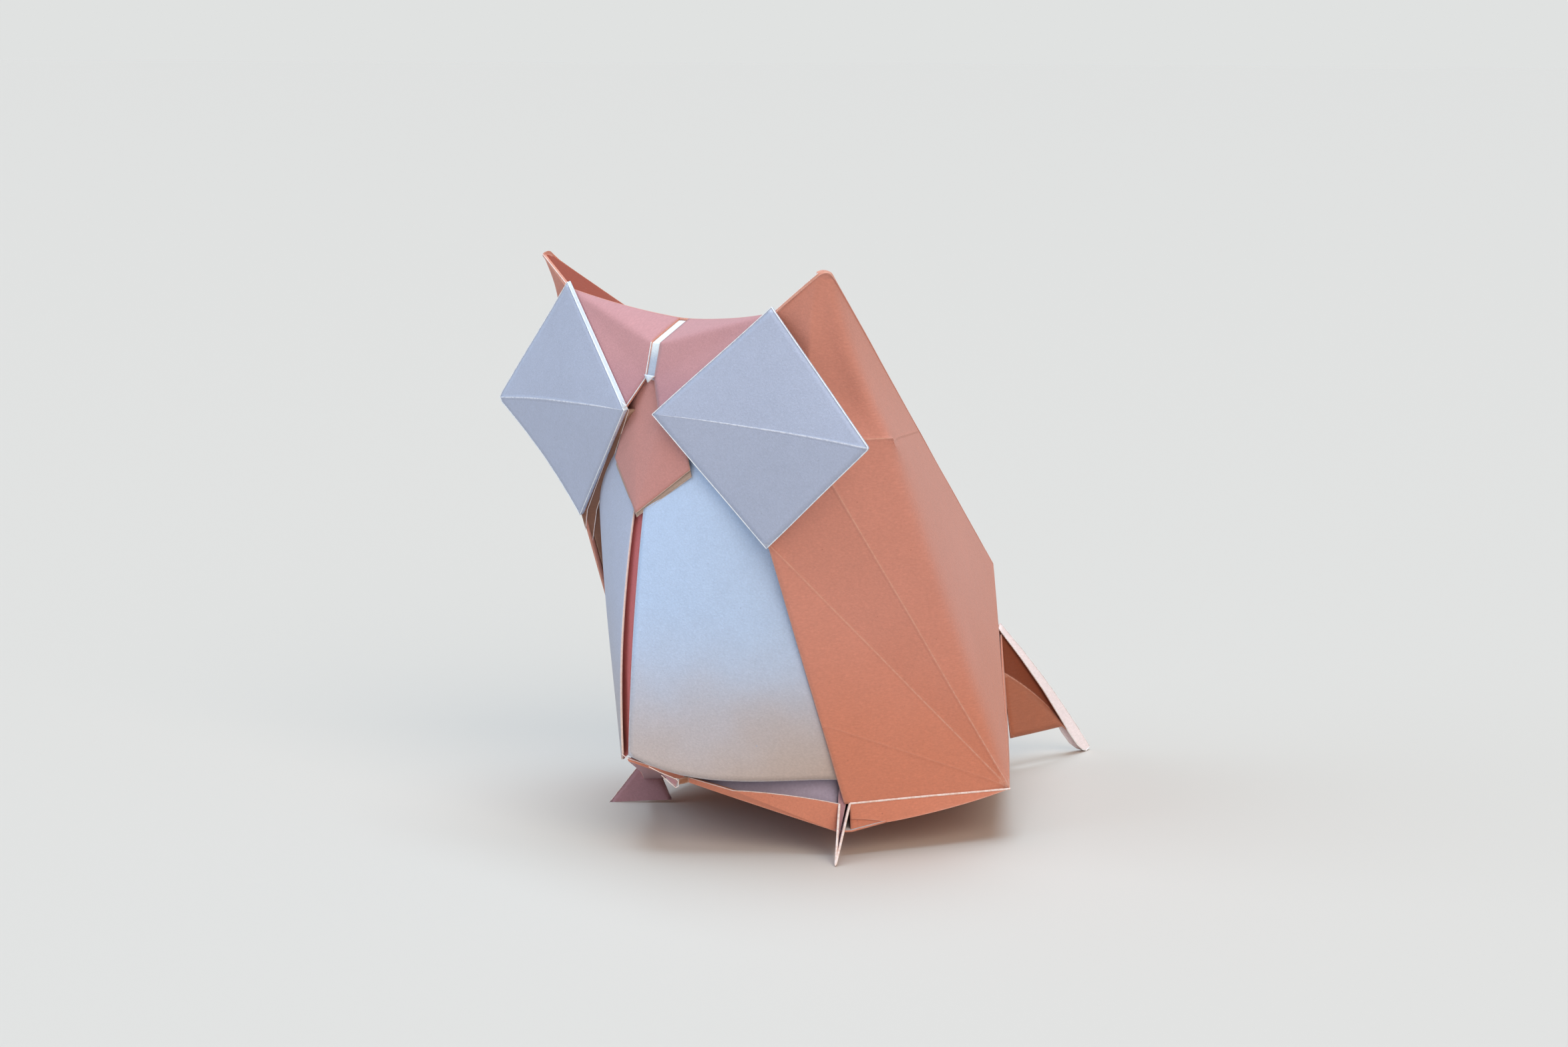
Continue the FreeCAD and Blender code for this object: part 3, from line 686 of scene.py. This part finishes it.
def belly_point(across, down):
    """A point of the left belly half. across runs from slit to side, down from top to bottom.

    It lies on a curve through three bowed rows, of which the middle one is at level."""
    rows = []
    tuck = Vector((-0.2, 0.9, 0))
    for slit, edge, bow, sag in (
        (place(0.35, -8.9, 42.0), place(12.6, -4.8, 41.5), 0.35, 0.0),
        (place(0.87, -11.7, 24.5), on_panel_edge(24.5) + tuck, 0.72, 0.0),
        (place(0.50, -12.25, 10.1), on_panel_edge(7.7) + tuck, 0.70, 1.15),
    ):
        arc = 4 * across * (1 - across)
        row = slit.lerp(edge, across) + Vector((bow, -bow, 0)) * arc
        rows.append(row - Vector((0, 0, sag * arc * (1.75 - 1.5 * across))))
    top, middle, bottom = rows
    level = 0.55
    weight_top = (down - level) * (down - 1) / level
    weight_middle = down * (1 - down) / (level * (1 - level))
    weight_bottom = down * (down - level) / (1 - level)
    return top * weight_top + middle * weight_middle + bottom * weight_bottom


def bellies():
    """The two bowed halves of the belly."""
    for side, flip in (("left", False), ("right", True)):
        made = surface_mesh("belly_" + side, belly_point, 32, 64, 0.03, flip)
        # The left half gets the painted lit white, the right half the painted grey-blue shade.
        add_sheet("belly_" + side, made, white if flip else belly_painted_light, salmon, raw, THIN_WALL)


def collar():
    """Thin layers between the right eye and the belly."""
    for layer, (width, foot) in enumerate(((1.5, 28.5), (0.75, 30.2))):
        inwards = INWARDS * width
        press = Vector((0, WALL * (0.5 - layer), 0))
        points = {
            "top": cheek + press, "top inside": cheek + press + inwards * 0.3,
            "panel top": panel_top + press, "bend": panel_top + press + inwards,
            "foot": on_panel_edge(foot) + press,
        }
        points = {name: mirrored(point) for name, point in points.items()}
        panels = [
            ("bend", "top inside", "top"), ("panel top", "bend", "top"), ("foot", "bend", "panel top"),
        ]
        fold = Fold(points, panels)
        add_paper(f"collar_{layer}", fold, brown, brown, raw, LAYER, 10)
        raw_edges.append(fold.edge_path("top inside", "bend", "foot"))
    back = Vector((-0.3, 0.5, 0))
    points = {
        "top": cheek + back, "middle": panel_top + back, "low": on_panel_edge(18.0) + back,
        "top inside": cheek + back + Vector((-0.6, 1.2, 0)),
        "middle inside": panel_top + back + Vector((-1.6, 2.2, 0)),
        "low inside": on_panel_edge(18.0) + back + Vector((-1.0, 1.2, 0)),
    }
    points = {name: mirrored(point) for name, point in points.items()}
    panels = [
        ("middle", "top inside", "top"), ("middle", "middle inside", "top inside"),
        ("low", "middle inside", "middle"), ("low", "low inside", "middle inside"),
    ]
    add_paper("collar_back", Fold(points, panels), brown, brown, brown, LAYER, 10)


def lining():
    """The valley fold behind the slit. Its sides end inside the belly's paper."""
    points, panels = {}, []
    for row, down in enumerate((0.0, 0.2, 0.4, 0.6, 0.8, 1.0)):
        slit, side = belly_point(0.0, down), belly_point(LINING_SHARE, down)
        points[f"fold {row}"] = Vector((0, slit.y + LINING_DEPTH, slit.z))
        points[f"side {row}"] = side + INWARDS * LAYER
        if row:
            panels.append((f"fold {row - 1}", f"fold {row}", f"side {row - 1}"))
            panels.append((f"side {row - 1}", f"fold {row}", f"side {row}"))
    fold = Fold(points, panels, waviness=0.03).with_other_half()
    add_paper("slit_lining", fold, slit_painted_shade, salmon, slit_painted_shade, LAYER / 2, 6)


def tray():
    """The base, with its raw rim just outside the body."""
    foot_side_low = corner(15.6, 3.87, 2.5)
    points = {
        "front": corner(0, -11.94, 9.65), "front low": corner(0, -11.94, 9.65) + Vector((0, 0.12, -0.3)),
        "half way": corner(7.46, -4.6, 6.6), "half way low": corner(7.1, -4.2, 5.75),
        "foot front": rim_front, "foot side": rim_side, "back": rim_back,
        "foot front low": corner(14.93, 2.8, 2.5), "foot side low": foot_side_low,
        "flap end": rim_side.lerp(foot_side_low, 0.56), "flap low": foot_side_low.lerp(rim_back, 0.22),
        "root": corner(0, 41.76, 15.5),
        "keel front": corner(0, 10.4, 4.4), "keel back": corner(0, 43.2, 3.4),
    }
    panels = [
        ("front", "front low", "half way low"), ("front", "half way low", "half way"),
        ("half way", "half way low", "foot front low"), ("half way", "foot front low", "foot front"),
        ("foot side", "flap end", "flap low"), ("foot side", "flap low", "back"),
        ("foot front low", "keel front", "foot side low"), ("foot side low", "keel front", "flap low"),
        ("flap low", "keel front", "back"), ("keel front", "keel back", "back"),
        ("back", "keel back", "root"),
    ]
    creases = [("flap low", "back"), ("half way low", "foot front low"), ("back", "keel back")]
    bows = {
        ("flap low", "back"): Vector((0.2, -0.3, -0.25)),
        ("half way", "foot front"): Vector((0.1, -0.1, 0.25)),
        ("flap end", "flap low"): Vector((0.05, 0, 0.12)),
    }
    fold = Fold(points, panels, creases, bows).with_other_half()
    add_paper("tray", fold, salmon, white, salmon, THIN_WALL, 20)
    # The bottom panels are painted in shade.
    under = [("front low", "keel front", "half way low"), ("half way low", "keel front", "foot front low")]
    add_paper("tray_bottom", Fold(points, under).with_other_half(), mauve, white, mauve, THIN_WALL, 20)
    slit_foot = belly_point(0.0, 1.0)
    raw_edges.append([mirrored(slit_foot), points["front"].lerp(mirrored(slit_foot), 0.3), points["front"]])
    for side in ("", " right"):
        raw_edges.append(fold.edge_path("front", "half way" + side, "foot front" + side))
        rim_edges.append(fold.edge_path("foot side" + side, "back" + side))
    press = Vector((-0.19, 0.07, 0))
    for side, flip in (("left", False), ("right", True)):
        strip = {
            "low": foot_side_low + press, "end": points["flap low"] + press * 0.3,
            "up": points["flap end"] + press + Vector((0, 0, 0.5)),
        }
        panels = [("up", "low", "end")]
        if flip:
            strip = {name: mirrored(point) for name, point in strip.items()}
            panels = [panel[::-1] for panel in panels]
        add_paper("tray_strip_" + side, Fold(strip, panels), salmon, salmon, salmon, LAYER, 10)


def ledge_point(across, down):
    """A point of the tray's inner side, under the left belly half."""
    front, half_way = corner(0, -11.94, 9.65), corner(7.46, -4.6, 6.6)
    if across < 0.5:
        rim = front.lerp(half_way, across * 2)
    else:
        rim = half_way.lerp(rim_front, across * 2 - 1)
    belly = belly_point(0.97 * across, 1.0)
    low = rim + INWARDS * 0.36 - Vector((0, 0, 0.2 + 0.4 * across))
    high = Vector((rim.x, rim.y, belly.z + 0.6)) + INWARDS * 1.5
    point = high.lerp(low, down) + Vector((0, 0, -0.25)) * (4 * down * (1 - down))
    point.x = max(point.x, 0.0)
    return point


def ledges():
    """The tray's inner sides, in the gap under the belly."""
    for side, flip in (("left", False), ("right", True)):
        made = surface_mesh("ledge_" + side, ledge_point, 24, 8, 0.03, flip)
        add_sheet("ledge_" + side, made, lilac, lilac, lilac, LAYER)


def front_scraps():
    """The end of a folded layer that looks out under the belly, and a bit of paper beside it."""
    out = Vector((0.21, -0.21, 0))
    loop = [
        place(1.9, -10.75, 9.05), place(2.67, -9.98, 8.5), place(3.78, -8.82, 7.84), place(3.92, -8.67, 7.6),
        place(3.95, -8.66, 7.13), place(3.75, -8.85, 6.96), place(3.3, -9.3, 7.5), place(2.75, -9.85, 8.2),
    ]
    raw_edges.append([point + out for point in loop])
    points = {
        "a": place(4.0, -8.58, 7.86) + out * 0.5, "b": place(4.65, -7.95, 8.1) + out * 0.5,
        "c": place(4.7, -7.9, 7.5) + out * 0.5, "d": place(3.95, -8.65, 7.25) + out * 0.5,
    }
    add_paper("front_scrap", Fold(points, [("a", "d", "b"), ("b", "d", "c")]), brown, brown, raw, LAYER, 6)
    points = {"a": loop[1], "b": loop[3], "c": loop[5]}
    add_paper("front_fold", Fold(points, [("a", "c", "b")]), mauve, mauve, raw, LAYER, 6)


def feet():
    """Pinched valleys with pale raw edges. Paper shows behind the left one's."""
    point, heel = corner(17.3, 0, 0), corner(12.5, 4.6, 0.4)
    for side, flip in (("left", False), ("right", True)):
        points = {"point": point, "heel": heel, "front": rim_front, "side": rim_side}
        panels = [("front", "heel", "point"), ("side", "point", "heel")]
        if flip:
            points = {name: mirrored(spot) for name, spot in points.items()}
            panels = [panel[::-1] for panel in panels]
        fold = Fold(points, panels)
        add_paper("foot_" + side, fold, mauve, mauve, raw, LAYER, 10)
        (raw_edges if flip else rim_edges).append(fold.edge_path("front", "point", "side"))
    raised = Vector((-0.55, 0.45, 1.5))
    behind = {"front": rim_front + raised, "side": rim_side + raised}
    behind["low"] = point.lerp(heel, 0.35) + Vector((0, 0, 0.3))
    add_paper("foot_valley", Fold(behind, [("low", "side", "front")]), mauve, mauve, mauve, LAYER / 2, 8)


def tail():
    """The white sides of the tail hang from its ridge, with the salmon fin between them."""
    root = corner(0, 41.5, 16.6)
    ridge = (tail_tip - root) * 0.98
    slope = math.atan2(-ridge.z, ridge.y)
    splay = math.radians(20)
    down = Vector((math.sin(splay), -math.sin(slope) * math.cos(splay), -math.cos(slope) * math.cos(splay)))
    outline = [
        (0.0, 0.8), (0.25, 1.1), (0.5, 1.4), (0.7, 1.75),
        (0.82, 1.95), (0.9, 1.85), (0.95, 1.5), (0.98, 1.05),
    ]
    points, panels = {"tip": root + ridge}, []
    for step, (share, width) in enumerate(outline):
        points[f"ridge {step}"] = root + ridge * share + Vector((0, 0, 2.8 * share * (1 - share)))
        points[f"edge {step}"] = points[f"ridge {step}"] + down * width
        if step:
            panels.append((f"ridge {step - 1}", f"edge {step - 1}", f"ridge {step}"))
            panels.append((f"ridge {step}", f"edge {step - 1}", f"edge {step}"))
    panels.append((f"ridge {step}", f"edge {step}", "tip"))
    fold = Fold(points, panels).with_other_half()
    add_paper("tail_sides", fold, tail_painted_light, tail_painted_light, raw, LAYER, 8)
    edges = [f"edge {step}" for step in range(len(outline))] + ["tip"]
    white_edges.append(fold.edge_path(*edges))
    white_edges.append(fold.edge_path(*[f"ridge {step}" for step in range(len(outline))], "tip"))

    fin = {
        "root": Vector((0, root.y - 0.2, root.z - 0.2)), "tip": tail_tip + Vector((0, -0.4, 0.2)),
        "bend front": place(0, 42.1, 11.0), "bend end": place(0, 49.9, 5.8),
        "front": place(0.7, 42.8, 3.5), "end": place(0.6, 51.5, 3.6),
        "top": (root + tail_tip) / 2 + Vector((0, 0, 0.5)),
    }
    panels = [
        ("root", "bend front", "top"), ("top", "bend front", "bend end"), ("top", "bend end", "tip"),
        ("bend front", "front", "end"), ("bend front", "end", "bend end"), ("bend end", "end", "tip"),
    ]
    bend = ("bend front", "bend end")
    # The fin is painted in deep shade above its bend and in lighter shade below it.
    parts = (("tail_fin", panels[:3], fin_deep_shade), ("tail_fin_foot", panels[3:], fin_foot_shade))
    for name, part, paper in parts:
        fold = Fold(fin, part, [bend], {bend: Vector((0, 0.1, 0.25))})
        add_paper(name, fold, paper, paper, paper, LAYER, 12)


body()
brow_strip()
beak()
eyes()
bellies()
collar()
lining()
tray()
ledges()
front_scraps()
feet()
tail()
add_edges("raw_edges", raw_edges, 0.04, raw)
add_edges("rim_edges", rim_edges, 0.11, raw)
add_edges("white_edges", white_edges, 0.05, painted_lit_white)
add_edges("thin_edges", thin_edges, 0.03, tan)


# --- floor, light and camera ---------------------------------------------------------------

BACKDROP = (0.747, 0.760, 0.753, 1)


def add_floor():
    """A pale floor, far wider than the view."""
    material = bpy.data.materials.new("floor")
    nodes = Nodes(material)
    shader = nodes.add("ShaderNodeBsdfPrincipled", {"Base Color": (0.62, 0.565, 0.52, 1), "Roughness": 0.9})
    nodes.add("ShaderNodeOutputMaterial", {"Surface": shader.outputs["BSDF"]})
    mesh = bpy.data.meshes.new("floor")
    reach = 30.0
    vertices = [(-reach, -reach, 0), (reach, -reach, 0), (reach, reach, 0), (-reach, reach, 0)]
    mesh.from_pydata(vertices, [], [(0, 1, 2, 3)])
    mesh.materials.append(material)
    floor = bpy.data.objects.new("floor", mesh)
    bpy.context.scene.collection.objects.link(floor)


def add_light(name, direction, power, colour, softness):
    """A distant soft lamp, so that the floor is lit evenly."""
    data = bpy.data.lights.new(name, "SUN")
    data.energy = power
    data.color = colour
    data.angle = math.radians(softness)
    lamp = bpy.data.objects.new(name, data)
    lamp.rotation_euler = Vector(direction).to_track_quat("-Z", "Y").to_euler()
    bpy.context.scene.collection.objects.link(lamp)


def add_world():
    """Soft light from all round. The camera sees it in the floor's colour, with no horizon."""
    world = bpy.data.worlds.new("studio")
    nodes = Nodes(world)
    light = nodes.add("ShaderNodeBackground", {"Color": (1.0, 0.94, 0.90, 1), "Strength": 0.33})
    seen = nodes.add("ShaderNodeBackground", {"Color": BACKDROP, "Strength": 1.0})
    camera_ray = nodes.add("ShaderNodeLightPath").outputs["Is Camera Ray"]
    mixed = nodes.add("ShaderNodeMixShader", {0: camera_ray, 1: light.outputs[0], 2: seen.outputs[0]})
    nodes.add("ShaderNodeOutputWorld", {"Surface": mixed.outputs[0]})
    bpy.context.scene.world = world


def add_camera():
    data = bpy.data.cameras.new("camera")
    data.sensor_width = 36.0
    data.lens = 69.0
    data.clip_start = 0.01
    camera = bpy.data.objects.new("camera", data)
    right = Vector((0.67871, 0.73438, 0.00524))
    up = Vector((-0.11609, 0.10024, 0.98817))
    back = right.cross(up)
    where = place(222.8, -197.3, 78.1) * MM
    camera.matrix_world = Matrix((right, up, back)).transposed().to_4x4()
    camera.location = where
    bpy.context.scene.collection.objects.link(camera)
    bpy.context.scene.camera = camera


add_floor()
add_light("ceiling", (0.0, 0.0, -1.0), 2.55, (0.66, 0.85, 1.0), 45)
add_light("window", (-0.85, 0.30, -0.55), 1.45, (1.0, 0.87, 0.72), 45)
add_light("room", (0.35, 0.85, -0.6), 1.0, (0.66, 0.84, 1.0), 45)
add_world()
add_camera()
bpy.context.scene.view_settings.view_transform = "Standard"
